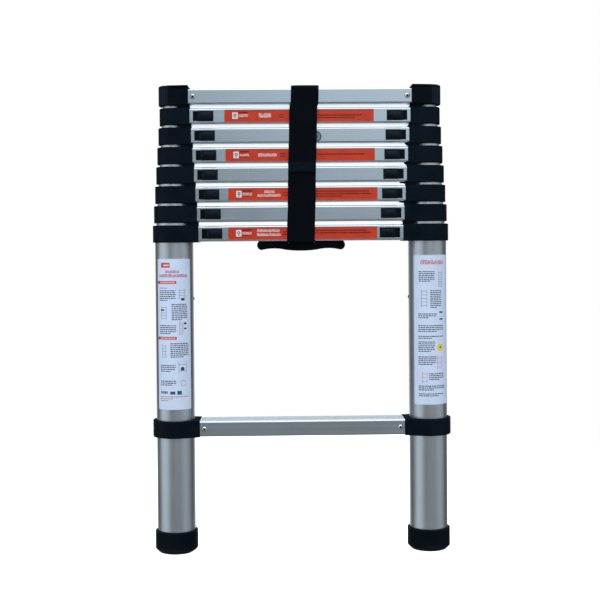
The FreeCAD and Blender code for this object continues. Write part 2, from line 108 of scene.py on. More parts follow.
class Shader(Nodes):
    """One material, and short ways to make its patterns."""

    def __init__(self, name):
        self.material = bpy.data.materials.new(name)
        self.material.use_nodes = True
        super().__init__(self.material.node_tree)
        self.surface = self.tree.nodes["Principled BSDF"]

    def place(self, uv=False):
        """Position in the row frame, or the piece's own flat layout."""
        if uv:
            return self.add("UVMap", {}, uv_map="flat").outputs["UV"]
        return self.add("TexCoord", {}).outputs["Object"]

    def noise(self, where, scale, detail=2.0, rough=0.5):
        """Noise with its own scale on each axis."""
        spread = self.add("Mapping", {"Vector": where, "Scale": scale}).outputs["Vector"]
        texture = self.add("TexNoise", {"Vector": spread, "Scale": 1.0, "Detail": detail, "Roughness": rough})
        return texture.outputs["Fac"]

    def remap(self, value, low, high, to_low=0.0, to_high=1.0, smooth=True):
        kind = "SMOOTHSTEP" if smooth else "LINEAR"
        inputs = {"Value": value, "From Min": low, "From Max": high, "To Min": to_low, "To Max": to_high}
        return self.add("MapRange", inputs, interpolation_type=kind).outputs["Result"]

    def math(self, operation, a, b=0.0):
        return self.add("Math", {0: a, 1: b}, operation=operation).outputs[0]

    def reach(self, across, along):
        """How far a place is from an axis, from its two distances."""
        flat = self.add("CombineXYZ", {"X": across, "Y": along}).outputs["Vector"]
        return self.add("VectorMath", {0: flat}, operation="LENGTH").outputs["Value"]

    def mix(self, factor, a, b):
        node = self.add("Mix", {0: factor}, data_type="RGBA")
        for index, value in ((6, a), (7, b)):
            self.put(node.inputs[index], (*value, 1.0) if isinstance(value, tuple) else value)
        return node.outputs[2]

    def bump(self, height, strength, depth, under=None):
        inputs = {"Height": height, "Strength": strength, "Distance": depth}
        if under is not None:
            inputs["Normal"] = under
        return self.add("Bump", inputs).outputs["Normal"]

    def finish(self, **inputs):
        for key, value in inputs.items():
            socket = self.surface.inputs[key.replace("_", " ")]
            self.put(socket, (*value, 1.0) if isinstance(value, tuple) else value)
        return self.material


# ---- finishes ------------------------------------------------------------------------------------
def aluminium(name, dark, light, along, rough=(0.3, 0.42), satin=1.0):
    """Satin anodised metal with fine drawing lines along one axis."""
    s = Shader(name)
    where = s.place()
    fine = s.noise(where, tuple(7.0 if i == along else 1300.0 for i in range(3)), 3.0, 0.6)
    broad = s.noise(where, tuple(2.5 if i == along else 330.0 for i in range(3)), 2.0)
    cloud = s.noise(where, (16.0, 16.0, 16.0), 3.0, 0.6)
    scuff = s.noise(where, tuple(160.0 if i == along else 24.0 for i in range(3)), 5.0, 0.7)
    tone = s.math("ADD", s.math("MULTIPLY", fine, 0.45), s.math("MULTIPLY", broad, 0.55))
    tone = s.math("ADD", s.math("MULTIPLY", tone, 0.6), s.math("MULTIPLY", cloud, 0.4))
    colour = s.mix(s.remap(tone, 0.3, 0.7), dark, light)
    worn = s.remap(scuff, 0.66, 0.78)
    colour = s.mix(s.math("MULTIPLY", worn, 0.25), colour, tuple(0.8 * c for c in dark))
    roughness = s.remap(tone, 0.3, 0.7, rough[0], rough[1])
    roughness = s.math("ADD", roughness, s.math("MULTIPLY", worn, 0.08))
    normal = s.bump(broad, 0.06, 0.03 * MM)
    return s.finish(Base_Color=colour, Metallic=satin, Roughness=roughness, Normal=normal)


COOL = (0.62, 0.85, 1.0)


def moulded(
    name, dark, light, rough=(0.42, 0.6), grain=1500.0, depth=0.03, dust=0.3, shine=0.13,
    ribs=False, stacked=False,
):
    """Black moulding with a fine spark grain, soft sheen changes and pale scuffs.

    Ribs get paler crests on their outboard side: a painted highlight as well as rubbed wear. Stacked
    mouldings are matt where they meet, between one rung and the next.
    """
    s = Shader(name)
    where = s.place()
    cells = s.add("TexVoronoi", {"Vector": where, "Scale": grain}, feature="SMOOTH_F1").outputs["Distance"]
    fine = s.noise(where, (grain * 2, grain * 2, grain * 2), 2.0)
    cloud = s.noise(where, (26.0, 26.0, 26.0), 4.0, 0.62)
    scuff = s.noise(where, (90.0, 90.0, 240.0), 6.0, 0.75)
    colour = s.mix(s.remap(cloud, 0.35, 0.68), dark, light)
    worn = s.math("MULTIPLY", s.remap(scuff, 0.62, 0.8), dust)
    colour = s.mix(worn, colour, tuple(min(1.0, 5.0 * c + 0.012) for c in light))
    if ribs:
        # painted highlight as well as rubbed wear: the rib crests on the outboard side, where the side lamps
        # fall, are paler
        axes = s.add("SeparateXYZ", {"Vector": where})
        off = s.math("SUBTRACT", s.math("ABSOLUTE", axes.outputs["X"]), LEG_X)
        reach = s.reach(off, axes.outputs["Y"])
        crest = s.remap(reach, CAP_RADIUS - 0.55 * MM, CAP_RADIUS - 0.1 * MM)
        crest = s.math("MULTIPLY", crest, s.remap(off, 3 * MM, 10 * MM))
        colour = s.mix(crest, colour, (0.0085, 0.0155, 0.0245))
    roughness = s.remap(cloud, 0.3, 0.7, rough[0], rough[1])
    roughness = s.math("ADD", roughness, s.math("MULTIPLY", worn, 0.3))
    if stacked:
        z = s.add("SeparateXYZ", {"Vector": where}).outputs["Z"]
        from_middle = s.math("PINGPONG", s.math("SUBTRACT", z, rung_centre(0)), RUNG_PITCH / 2)
        between = s.remap(from_middle, 11.6 * MM, 12.6 * MM)
        roughness = s.math("MAXIMUM", roughness, between)
    height = s.math("ADD", cells, s.math("MULTIPLY", fine, 0.5))
    return s.finish(
        Base_Color=colour, Roughness=roughness, Specular_IOR_Level=shine, Specular_Tint=COOL,
        Normal=s.bump(height, 0.25, depth * MM),
    )


def rubber():
    """Foot rubber: a matt moulding, rubbed grey and dusty towards the floor."""
    s = Shader("foot_rubber")
    where = s.place()
    z = s.add("SeparateXYZ", {"Vector": where}).outputs["Z"]
    speck = s.noise(where, (700.0, 700.0, 700.0), 4.0, 0.7)
    cloud = s.noise(where, (45.0, 45.0, 45.0), 4.0, 0.6)
    low = s.math("MULTIPLY", s.remap(z, 16 * MM, 0.0), s.remap(cloud, 0.38, 0.72))
    colour = s.mix(s.remap(cloud, 0.3, 0.7), (0.0008, 0.0022, 0.0045), (0.0019, 0.004, 0.007))
    colour = s.mix(s.math("MULTIPLY", low, 0.2), colour, (0.05, 0.05, 0.05))
    roughness = s.remap(speck, 0.3, 0.7, 0.5, 0.68)
    height = s.math("ADD", speck, cloud)
    return s.finish(
        Base_Color=colour, Roughness=roughness, Specular_IOR_Level=0.11, Specular_Tint=COOL,
        Normal=s.bump(height, 0.3, 0.06 * MM),
    )


def nylon():
    s = Shader("guide_nylon")
    where = s.place()
    cloud = s.noise(where, (60.0, 60.0, 60.0), 3.0)
    rub = s.noise(where, (500.0, 500.0, 14.0), 3.0)
    colour = s.mix(s.remap(cloud, 0.3, 0.7), (0.66, 0.65, 0.6), (0.78, 0.77, 0.74))
    colour = s.mix(s.math("MULTIPLY", s.remap(rub, 0.6, 0.75), 0.5), colour, (0.32, 0.32, 0.33))
    roughness = s.remap(rub, 0.3, 0.7, 0.34, 0.5)
    return s.finish(
        Base_Color=colour, Roughness=roughness, Subsurface_Weight=0.1, Subsurface_Scale=2 * MM,
        Normal=s.bump(rub, 0.2, 0.02 * MM),
    )


def steel(name, dark, light, scale, rough=(0.2, 0.36), recess=None):
    """Steel with fine lines. A screw's recess, at x either side and z, and its rim get painted shade: a dark
    disc round the axis and a dark ring where the head meets the rung.
    """
    s = Shader(name)
    where = s.place()
    lines = s.noise(where, scale, 3.0, 0.6)
    cloud = s.noise(where, (140.0, 140.0, 140.0), 3.0)
    colour = s.mix(s.remap(cloud, 0.35, 0.65), dark, light)
    if recess:
        axes = s.add("SeparateXYZ", {"Vector": where})
        x = s.math("SUBTRACT", s.math("ABSOLUTE", axes.outputs["X"]), recess[0])
        z = s.math("SUBTRACT", axes.outputs["Z"], recess[1])
        # painted shade: a dark disc round the screw's axis, wider than its cross recess, and a dark ring
        # where the head meets the rung
        centre = s.remap(s.reach(x, z), 2.3 * MM, 1.5 * MM)
        rim = s.remap(axes.outputs["Y"], RUNG_FRONT - 0.7 * MM, RUNG_FRONT - 0.2 * MM)
        colour = s.mix(s.math("MAXIMUM", centre, rim), colour, (0.03, 0.04, 0.05))
    roughness = s.remap(lines, 0.3, 0.7, rough[0], rough[1])
    normal = s.bump(lines, 0.2, 0.02 * MM)
    return s.finish(Base_Color=colour, Metallic=1.0, Roughness=roughness, Normal=normal)


def latch_finish():
    """Semi-gloss moulding. Its lock pin is steel: the part outboard of a plane that leans with the tubes."""
    s = Shader("latch_moulding_and_pin")
    where = s.place()
    axes = s.add("SeparateXYZ", {"Vector": where})
    cloud = s.noise(where, (60.0, 60.0, 60.0), 4.0, 0.6)
    grain = s.noise(where, (2200.0, 2200.0, 2200.0), 2.0)
    low, high = rung_centre(1), rung_centre(1) + SECTIONS * RUNG_PITCH
    plane = s.remap(axes.outputs["Z"], low, high, 151 * MM, 167 * MM, smooth=False)
    outboard = s.math("GREATER_THAN", s.math("ABSOLUTE", axes.outputs["X"]), plane)
    behind = s.math("GREATER_THAN", axes.outputs["Y"], -10 * MM)
    pin = s.math("MULTIPLY", outboard, behind)
    # painted shade: the moulding sunk back towards the rung's face, in the bare slot, is darker than the
    # proud pad face
    face = s.remap(axes.outputs["Y"], RUNG_FRONT - 0.6 * MM, RUNG_FRONT - 2.2 * MM)
    black = s.mix(s.remap(cloud, 0.35, 0.65), (0.0016, 0.0034, 0.007), (0.0035, 0.0065, 0.011))
    black = s.mix(face, (0.0006, 0.001, 0.0016), black)
    colour = s.mix(pin, black, (0.5, 0.5, 0.5))
    roughness = s.math("SUBTRACT", s.remap(cloud, 0.3, 0.7, 0.3, 0.42), s.math("MULTIPLY", pin, 0.08))
    return s.finish(
        Base_Color=colour, Metallic=pin, Roughness=roughness, Specular_IOR_Level=0.22, Specular_Tint=COOL,
        Normal=s.bump(grain, 0.15, 0.02 * MM),
    )


def webbing(name, dark, light, rib=1.45, pick=2.1):
    """Black woven webbing: warp ribs crossed by weft picks that step from rib to rib."""
    s = Shader(name)
    flat = s.place(uv=True)
    axes = s.add("SeparateXYZ", {"Vector": flat})
    ribs = s.math("DIVIDE", axes.outputs["X"], rib * MM)
    picks = s.math("DIVIDE", axes.outputs["Y"], pick * MM)
    step = s.math("MULTIPLY", s.math("FLOOR", ribs), 0.5)
    across = s.math("ABSOLUTE", s.math("SINE", s.math("MULTIPLY", ribs, math.pi)))
    along = s.math("ABSOLUTE", s.math("SINE", s.math("MULTIPLY", s.math("ADD", picks, step), math.pi)))
    weave = s.math("MULTIPLY", across, s.math("ADD", s.math("MULTIPLY", along, 0.65), 0.35))
    fuzz = s.noise(flat, (2600.0, 700.0, 1.0), 3.0, 0.6)
    cloud = s.noise(flat, (70.0, 26.0, 1.0), 3.0, 0.6)
    tone = s.math("ADD", s.math("MULTIPLY", weave, 0.6), s.math("MULTIPLY", cloud, 0.5))
    colour = s.mix(s.remap(tone, 0.25, 0.85), dark, light)
    roughness = s.remap(fuzz, 0.3, 0.7, 0.66, 0.86)
    normal = s.bump(weave, 0.7, 0.22 * MM, s.bump(fuzz, 0.3, 0.04 * MM))
    return s.finish(
        Base_Color=colour, Roughness=roughness, Specular_IOR_Level=0.08, Specular_Tint=COOL,
        Sheen_Weight=0.02, Sheen_Roughness=0.4, Normal=normal,
    )


def printed(name, colour, speck=0.06):
    """Label film or ink with a faint mottling."""
    s = Shader(name)
    where = s.place()
    cloud = s.noise(where, (55.0, 55.0, 55.0), 3.0, 0.6)
    fibre = s.noise(where, (900.0, 900.0, 900.0), 2.0)
    lower = tuple(c * (1 - speck) for c in colour)
    tone = s.mix(s.remap(cloud, 0.3, 0.7), lower, colour)
    roughness = s.remap(cloud, 0.3, 0.7, 0.35, 0.47)
    normal = s.bump(fibre, 0.12, 0.02 * MM)
    return s.finish(Base_Color=tone, Roughness=roughness, Specular_IOR_Level=0.3, Normal=normal)


TUBE = aluminium("tube_aluminium", (0.63, 0.675, 0.70), (0.71, 0.765, 0.80), along=2, rough=(0.32, 0.4))
# the inner tubes are a lighter, partly diffuse copy of the tube aluminium: a painted highlight for the bright
# glints where they show in the gaps under the collars
INNER_TUBE = aluminium("inner_tube_aluminium", (0.74, 0.78, 0.80), (0.84, 0.88, 0.90), along=2, satin=0.7)
RUNG = aluminium("rung_aluminium", (0.67, 0.76, 0.82), (0.74, 0.84, 0.905), along=0, rough=(0.17, 0.26))
COLLAR = moulded("collar_plastic", (0.0009, 0.0028, 0.0062), (0.0022, 0.0054, 0.0105), stacked=True)
# the caps' outboard rib crests carry a painted highlight besides rubbed wear
CAP = moulded("cap_plastic", (0.0004, 0.0012, 0.0028), (0.0012, 0.0028, 0.0058), ribs=True, stacked=True)
HANDLE = moulded(
    "handle_plastic", (0.0007, 0.0013, 0.0022), (0.0016, 0.0026, 0.004), grain=1100.0, depth=0.05, shine=0.09
)
GRIP = moulded(
    "grip_plastic", (0.0007, 0.0015, 0.0032), (0.0018, 0.0034, 0.0065), rough=(0.22, 0.32), dust=0.12,
    shine=0.36,
)
FOOT = rubber()
GUIDE = nylon()
SPRING = steel("spring_steel", (0.40, 0.40, 0.42), (0.56, 0.56, 0.57), (1500.0, 300.0, 300.0))
BRIGHT = ((0.80, 0.83, 0.86), (0.92, 0.94, 0.96), (420.0, 420.0, 420.0), (0.12, 0.22))
TOP_SCREW = steel("top_screw_steel", *BRIGHT, recess=screw_axis(SECTIONS, TOP_SCREW_INSET))
LOW_SCREW = steel("low_screw_steel", *BRIGHT, recess=screw_axis(0, LOW_SCREW_INSET))
LATCH = latch_finish()
WEB = webbing("strap_webbing", (0.0008, 0.001, 0.002), (0.0036, 0.0046, 0.0078))
# the hem is a paler copy of the webbing: a painted sheen on the flap's end; its finer weave is the hem's own
HEM = webbing("strap_hem_painted_sheen", (0.002, 0.003, 0.0055), (0.006, 0.009, 0.0155), rib=1.1, pick=1.3)
THREAD = moulded("strap_thread", (0.004, 0.006, 0.009), (0.008, 0.011, 0.016), rough=(0.5, 0.7), dust=0.1)


def finish_of(node):
    """The finish of a CAD node, by its name."""
    for start, material in (
        ("tubes_", INNER_TUBE), ("outer_tubes", TUBE), ("rung_", RUNG), ("collars_", COLLAR),
        ("bottom_collars", COLLAR), ("end_caps", CAP), ("feet", FOOT), ("slip_guides_", GUIDE),
        ("latch_springs_", SPRING), ("latch_", LATCH), ("base_fasteners", LOW_SCREW),
        ("top_screws", TOP_SCREW), ("carry_handle", HANDLE), ("strap", WEB),
    ):
        if node.startswith(start):
            return material
    raise ValueError("no finish for " + node)


for node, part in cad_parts.items():
    for slot in part.material_slots:
        slot.material = finish_of(node)


# ---- mesh helpers --------------------------------------------------------------------------------
def make_object(name, mesh, materials):
    """Turns a bmesh into an object."""
    data = bpy.data.meshes.new(name)
    bmesh.ops.recalc_face_normals(mesh, faces=mesh.faces)
    mesh.to_mesh(data)
    mesh.free()
    for material in materials:
        data.materials.append(material)
    made = bpy.data.objects.new(name, data)
    bpy.context.scene.collection.objects.link(made)
    return made


def make_piece(name, mesh, materials, body, smooth=35.0):
    """Turns a bmesh into a piece that rides on a body, smooth except at edges sharper than an angle."""
    piece = make_object(name, mesh, materials)
    for face in piece.data.polygons:
        face.use_smooth = True
    piece.data.set_sharp_from_angle(angle=math.radians(smooth))
    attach(piece, body)
    return piece


def closed_tube(mesh, rings, material=0, uvs=None):
    """Joins rings of points, each ring a closed loop, into one closed solid."""
    layer = mesh.loops.layers.uv.get("flat") or mesh.loops.layers.uv.new("flat")
    rows = [[mesh.verts.new(point) for point in ring] for ring in rings]
    count = len(rings[0])

    def add_face(corners):
        face = mesh.faces.new([rows[row][column] for row, column in corners])
        face.material_index = material
        if uvs:
            for loop, (row, column) in zip(face.loops, corners):
                loop[layer].uv = uvs[row][column]

    for i in range(len(rows) - 1):
        for j in range(count):
            k = (j + 1) % count
            add_face(((i, j), (i, k), (i + 1, k), (i + 1, j)))
    for end in (0, len(rows) - 1):
        add_face([(end, column) for column in range(count)])


# ---- strap ---------------------------------------------------------------------------------------
def path_through(corners, radius, step=2 * MM):
    """Points, outward directions and lengths along straight runs in the YZ plane, with rounded corners.

    A path goes round the rungs from the back over the top to the front, or on round below them.
    """
    points = []
    for i, corner in enumerate(corners):
        here = Vector(corner)
        if 0 < i < len(corners) - 1:
            back = (Vector(corners[i - 1]) - here).normalized()
            ahead = (Vector(corners[i + 1]) - here).normalized()
            centre = here + (back + ahead) * radius
            start, end = -ahead, -back
            for part in range(9):
                turn = part / 8 * math.pi / 2
                points.append(centre + (start * math.cos(turn) + end * math.sin(turn)) * radius)
        else:
            points.append(here)
    even = [points[0]]
    for a, b in zip(points, points[1:]):
        count = max(1, round((b - a).length / step))
        even += [a.lerp(b, n / count) for n in range(1, count + 1)]
    path = []
    travelled = 0.0
    for i, point in enumerate(even):
        ahead = even[min(i + 1, len(even) - 1)] - even[max(i - 1, 0)]
        ahead.normalize()
        if i:
            travelled += (point - even[i - 1]).length
        path.append((point, Vector((ahead.y, -ahead.x)), travelled))
    return path


def smooth_step(value, low, high):
    t = min(1.0, max(0.0, (value - low) / (high - low)))
    return t * t * (3 - 2 * t)


def band(mesh, path, centre_x, width, thickness, lift, hem=0.0, crown=0.12 * MM, selvedge=0.35):
    """A strap swept along a path. centre_x and lift give its sideways place and its outward rise.

    It is fuller by its crown in the middle, its selvedges have a share of its thickness, and its last hem is
    folded over.
    """
    columns = 12
    rings, uvs = [], []
    total = path[-1][2]
    for point, normal, travelled in path:
        x = centre_x(point)
        rise = lift(point, travelled)
        fold = 0.55 * MM * smooth_step(travelled, total - hem - 1.5 * MM, total - hem) if hem else 0.0
        outer, inner, outer_uv, inner_uv = [], [], [], []
        for column in range(columns + 1):
            across = column / columns * 2 - 1
            edge = math.sqrt(max(0.0, 1 - abs(across) ** 14))
            half = thickness / 2 * (selvedge + (1 - selvedge) * edge)
            side = x + across * width / 2
            high = half + rise + crown * (1 - across * across) + fold * edge
            low = -half + rise * 0.6
            outer.append((side, point.x + normal.x * high, point.y + normal.y * high))
            inner.append((side, point.x + normal.x * low, point.y + normal.y * low))
            uv = ((across + 1) / 2 * width, travelled)
            outer_uv.append(uv)
            inner_uv.append(uv)
        rings.append(outer + inner[::-1])
        uvs.append(outer_uv + inner_uv[::-1])
    closed_tube(mesh, rings, uvs=uvs)


STRAP_WIDTH = 42.5 * MM
WEB_THICK = 1.4 * MM
HEM_LENGTH = 14.0 * MM
STRAP_TOP_X, STRAP_BOTTOM_X = 6.5 * MM, 0.6 * MM
LAYER = 1.6 * MM
BACK_Y = STRAP_HIGH.y - LAYER / 2
FLAP_Y = STRAP_LOW.y + LAYER / 2
INNER_Y = STRAP_LOW.y + 1.5 * LAYER
INNER_END_Z = STRAP_LOW.z - 0.22 * MM       # where the inner run meets the stretch under rung 1
TOP_Z = STRAP_HIGH.z - LAYER / 2
FLAP_END_Z = rung_centre(4) + 4 * MM
INNER_TOP_Z = rung_centre(8) - 48 * MM
KINK_Z = (rung_centre(7) + rung_centre(8)) / 2


def strap_x(point):
    """The strap leans a little, with a small sidestep under the top rung."""
    share = (point.y - STRAP_LOW.z) / (STRAP_HIGH.z - STRAP_LOW.z)
    lean = STRAP_BOTTOM_X + (STRAP_TOP_X - STRAP_BOTTOM_X) * share
    step = 2.0 * MM * smooth_step(point.y, KINK_Z - 5 * MM, KINK_Z + 5 * MM)
    return lean + step - 1.0 * MM + 0.18 * MM * math.sin(point.y * 61.0)


def ripple(point, travelled):
    """Where the strap spans from rung to rung it is not quite flat."""
    wave = 0.5 + 0.5 * math.sin(point.y * 2 * math.pi / (60 * MM) + 0.7)
    return 0.22 * MM * wave + 0.12 * MM * math.sin(travelled * 143.0) ** 2


def flap_lift(point, travelled):
    """The loose end of the flap stands slightly off."""
    if point.x > 0 or point.y > KINK_Z:
        return ripple(point, travelled)
    return ripple(point, travelled) + 0.5 * MM * (1 - smooth_step(point.y, FLAP_END_Z, FLAP_END_Z + 26 * MM))


def strap_outer():
    mesh = bmesh.new()
    path = path_through(
        [
            (BACK_Y, STRAP_LOW.z), (BACK_Y, TOP_Z + 0.8 * MM), (FLAP_Y, TOP_Z + 2.2 * MM),
            (FLAP_Y, FLAP_END_Z),
        ],
        4.2 * MM,
    )
    band(mesh, path, strap_x, STRAP_WIDTH, WEB_THICK, flap_lift, hem=HEM_LENGTH)
    end_z = FLAP_END_Z + HEM_LENGTH
    # the flap's folded end takes the hem webbing, with its painted sheen
    for face in mesh.faces:
        middle = face.calc_center_median()
        if middle.y < INNER_Y and middle.z < end_z:
            face.material_index = 1
    piece = make_piece("strap_outer", mesh, [WEB, HEM], "section_8", smooth=50)
    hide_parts("strap")
    return piece, path[-1][2]


def stitch(mesh, centre, along, length):
    """One thread stitch, a small pointed capsule that lies on the webbing."""
    across = Vector((0, -1, 0)).cross(along).normalized()
    up = Vector((0, -1, 0))
    rings = []
    for place, size in ((-0.5, 0.25), (-0.3, 0.85), (0, 1.0), (0.3, 0.85), (0.5, 0.25)):
        ring = []
        for corner in range(6):
            turn = corner / 6 * 2 * math.pi
            offset = across * math.cos(turn) * 0.32 * MM * size + up * math.sin(turn) * 0.24 * MM * size
            ring.append(centre + along * length * place + offset)
        rings.append(ring)
    closed_tube(mesh, rings)


def strap_stitching():
    """A stitched box with a cross, through the folded end of the flap."""
    mesh = bmesh.new()
    face_y = FLAP_Y - WEB_THICK / 2 - 1.25 * MM
    half = 17.5 * MM
    low, high = FLAP_END_Z + 2.2 * MM, FLAP_END_Z + HEM_LENGTH - 2.0 * MM
    middle_x = strap_x(Vector((FLAP_Y, FLAP_END_Z)))
    corners = [(-half, low), (half, low), (half, high), (-half, high)]
    runs = list(zip(corners, corners[1:] + corners[:1]))
    runs += [(corners[0], corners[2]), (corners[1], corners[3])]
    for (x0, z0), (x1, z1) in runs:
        start = Vector((middle_x + x0, face_y, z0))
        end = Vector((middle_x + x1, face_y, z1))
        along = (end - start).normalized()
        count = round((end - start).length / (2.9 * MM))
        for n in range(count):
            stitch(mesh, start.lerp(end, (n + 0.5) / count), along, 2.2 * MM)
    return make_piece("strap_stitching", mesh, [THREAD], "section_8")


def strap_inner():
    mesh = bmesh.new()
    path = path_through([(INNER_Y, INNER_TOP_Z), (INNER_Y, INNER_END_Z)], MM)
    band(mesh, path, strap_x, STRAP_WIDTH, WEB_THICK, lambda point, travelled: 0.0)
    piece = make_piece("strap_inner", mesh, [WEB], "section_8", smooth=50)
    return piece, path[-1][2]


def strap_under():
    """The stretch that passes under rung 1, in the handle's channel."""
    low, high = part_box("strap_base")
    middle = (low.x + high.x) / 2
    mesh = bmesh.new()
    path = path_through(
        [
            (low.y + LAYER / 2, high.z), (low.y + LAYER / 2, low.z + LAYER / 2),
            (high.y - LAYER / 2, low.z + LAYER / 2), (high.y - LAYER / 2, high.z),
        ],
        0.9 * MM, step=1 * MM,
    )
    band(
        mesh, path, lambda point: middle, STRAP_WIDTH, 1.4 * WEB_THICK,
        lambda point, travelled: 0.0, crown=0.0, selvedge=0.85,
    )
    piece = make_piece("strap_under", mesh, [WEB], "base", smooth=50)
    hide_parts("strap_base")
    return piece, path[-1][2]


outer, outer_length = strap_outer()
stitching = strap_stitching()
inner, inner_length = strap_inner()
under, under_length = strap_under()


# ---- carry handle --------------------------------------------------------------------------------
def arc_points(a, b, c, count):
    """Points on the circle through a, b and c, from a up to, but not with, c."""
    (ax, az), (bx, bz), (cx, cz) = a, b, c
    d = 2 * (ax * (bz - cz) + bx * (cz - az) + cx * (az - bz))
    ux = ((ax**2 + az**2) * (bz - cz) + (bx**2 + bz**2) * (cz - az) + (cx**2 + cz**2) * (az - bz)) / d
    uz = ((ax**2 + az**2) * (cx - bx) + (bx**2 + bz**2) * (ax - cx) + (cx**2 + cz**2) * (bx - ax)) / d
    centre = Vector((ux, uz))
    first, mid, last = (Vector(p) - centre for p in (a, b, c))
    start, stop = math.atan2(first.y, first.x), math.atan2(last.y, last.x)
    through = (math.atan2(mid.y, mid.x) - start) % (2 * math.pi)
    sweep = (stop - start) % (2 * math.pi)
    if through > sweep:
        sweep -= 2 * math.pi
    radius = first.length
    turns = [start + sweep * n / count for n in range(count)]
    return [(centre.x + radius * math.cos(turn), centre.y + radius * math.sin(turn)) for turn in turns]


def turned(mesh, centre, profile, segments=28):
    """A closed solid of revolution about Y: profile gives (radius, how far out in front)."""
    rings = []
    for radius, out in profile:
        rings.append([
            (
                centre.x + radius * math.cos(2 * math.pi * n / segments),
                centre.y - out,
                centre.z + radius * math.sin(2 * math.pi * n / segments),
            )
            for n in range(segments)
        ])
    closed_tube(mesh, rings)


NOTCH_HALF = 21.35      # where the strap passes between the grip and the rung, in millimetres
NOTCH_DEPTH = 2.2


def carry_grip():
    """The moulded grip: a belly between two finger scallops, and a rounded lobe with a boss at each end.

    Its outline is in millimetres, from the middle of its top.
    """
    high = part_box("carry_handle")[1] / MM
    half, depth, top = high
    lobe = (half - 7.0, -13.6)
    belly_end = (24.0, -13.4)
    right = arc_points((half - 3.0, 0.0), (half, -6.0), lobe, 14)
    right += arc_points(lobe, (40.0, -11.3), belly_end, 16)
    left = [(-x, z) for x, z in [belly_end] + right[::-1]]
    belly = arc_points(belly_end, (0.0, -15.0), left[0], 24)
    strap_low, strap_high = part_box("strap_base")
    middle = (strap_low.x + strap_high.x) / 2 / MM
    notch_left, notch_right = middle - NOTCH_HALF, middle + NOTCH_HALF
    notch = [(notch_left, 0.0), (notch_left, -NOTCH_DEPTH), (notch_right, -NOTCH_DEPTH), (notch_right, 0.0)]
    outline = right + belly + left + notch
    edge = 2.4
    slack = 0.01
    mesh = bmesh.new()

    def ring(y, pull):
        """The outline moved in by pull, without moving its top, which meets the rung."""
        points = []
        count = len(outline)
        for i, (x, z) in enumerate(outline):
            before, after = Vector(outline[i - 1]), Vector(outline[(i + 1) % count])
            along = (after - before).normalized()
            inward = Vector((along.y, -along.x))
            in_notch = z > -slack - NOTCH_DEPTH and abs(x - middle) < NOTCH_HALF + slack
            if in_notch or z > -slack:
                inward = Vector((-math.copysign(1.0, x), 0.0)) if abs(x) > 30 else Vector((0.0, 0.0))
            moved = Vector((x, z)) + inward * pull
            points.append((moved.x * MM, y * MM, (top + moved.y) * MM))
        return points

    rings = [ring(-depth + out, pull) for out, pull in ((0.0, edge), (0.3, 1.2), (0.9, 0.45), (edge, 0.0))]
    rings += [ring(-depth / 3, 0.0), ring(depth / 3, 0.0)]
    rings += [ring(depth - out, pull) for out, pull in ((edge, 0.0), (0.9, 0.45), (0.3, 1.2), (0.0, edge))]
    closed_tube(mesh, rings)
    for x in (-half + 7.2, half - 7.2):
        for front in (-1, 1):
            boss = [
                (0.001, 0.2), (1.6, 0.2), (1.9, 0.55), (2.4, 0.75), (3.6, 0.75), (4.2, 0.5), (4.5, 0.0),
                (4.5, -1.2), (0.001, -1.2),
            ]
            place = Vector((x, front * depth, top - 6.6))
            turned(mesh, place * MM, [(r * MM, -front * out * MM) for r, out in boss])
    piece = make_piece("carry_grip", mesh, [HANDLE], "base", smooth=32)
    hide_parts("carry_handle")


carry_grip()


# ---- thumb grips on the release buttons ----------------------------------------------------------
PAD_FROM_RUNG_END = 19.2 * MM       # collar socket, slot inset and bare slot
PAD_LENGTH = 23.7 * MM
PAD_HALF_HEIGHT = 7.9 * MM
PAD_FACE = 2.8 * MM                 # the pad's face stands this far off the rung's face
DOME_HEIGHT = 1.25 * MM


def dome(across, up):
    """How far the thumb pad swells at a place on it: from -1 to 1 along it and from -1 to 1 up it."""
    return DOME_HEIGHT * max(0.0, 1 - abs(up) ** 2.2) * max(0.0, 1 - abs(across) ** 8)


def domed_pad(mesh, middle_x, z, face_y):
    """The soft-topped pad under the thumb, sunk a little into the latch's face."""
    half, tall = PAD_LENGTH / 2 - 0.7 * MM, PAD_HALF_HEIGHT - 0.7 * MM
    rings = []
    for n in range(25):
        across = -1 + 2 * n / 24
        swell = [
            (middle_x + across * half, face_y - 0.05 * MM - dome(across, -1 + m / 8), z + (-1 + m / 8) * tall)
            for m in range(17)
        ]
        sunk = [(x, face_y + 0.3 * MM, up) for x, _, up in (swell[-1], swell[0])]
        rings.append(swell + sunk)
    closed_tube(mesh, rings)


def crest(mesh, line, face_y, width, height):
    """A rounded ridge along a line of (x, z) points on a vertical face."""
    rings = []
    count = len(line)
    for i, (x, z) in enumerate(line):
        ahead = Vector(line[min(i + 1, count - 1)]) - Vector(line[max(i - 1, 0)])
        side = Vector((-ahead.y, ahead.x)).normalized()
        taper = math.sin(math.pi * (0.08 + 0.84 * i / (count - 1))) ** 0.5
        ring = []
        for corner in range(8):
            turn = corner / 8 * 2 * math.pi
            spread = math.cos(turn) * width / 2 * (0.4 + 0.6 * taper)
            out = math.sin(turn) * height * taper
            ring.append((x + side.x * spread, face_y - out, z + side.y * spread))
        rings.append(ring)
    closed_tube(mesh, rings)


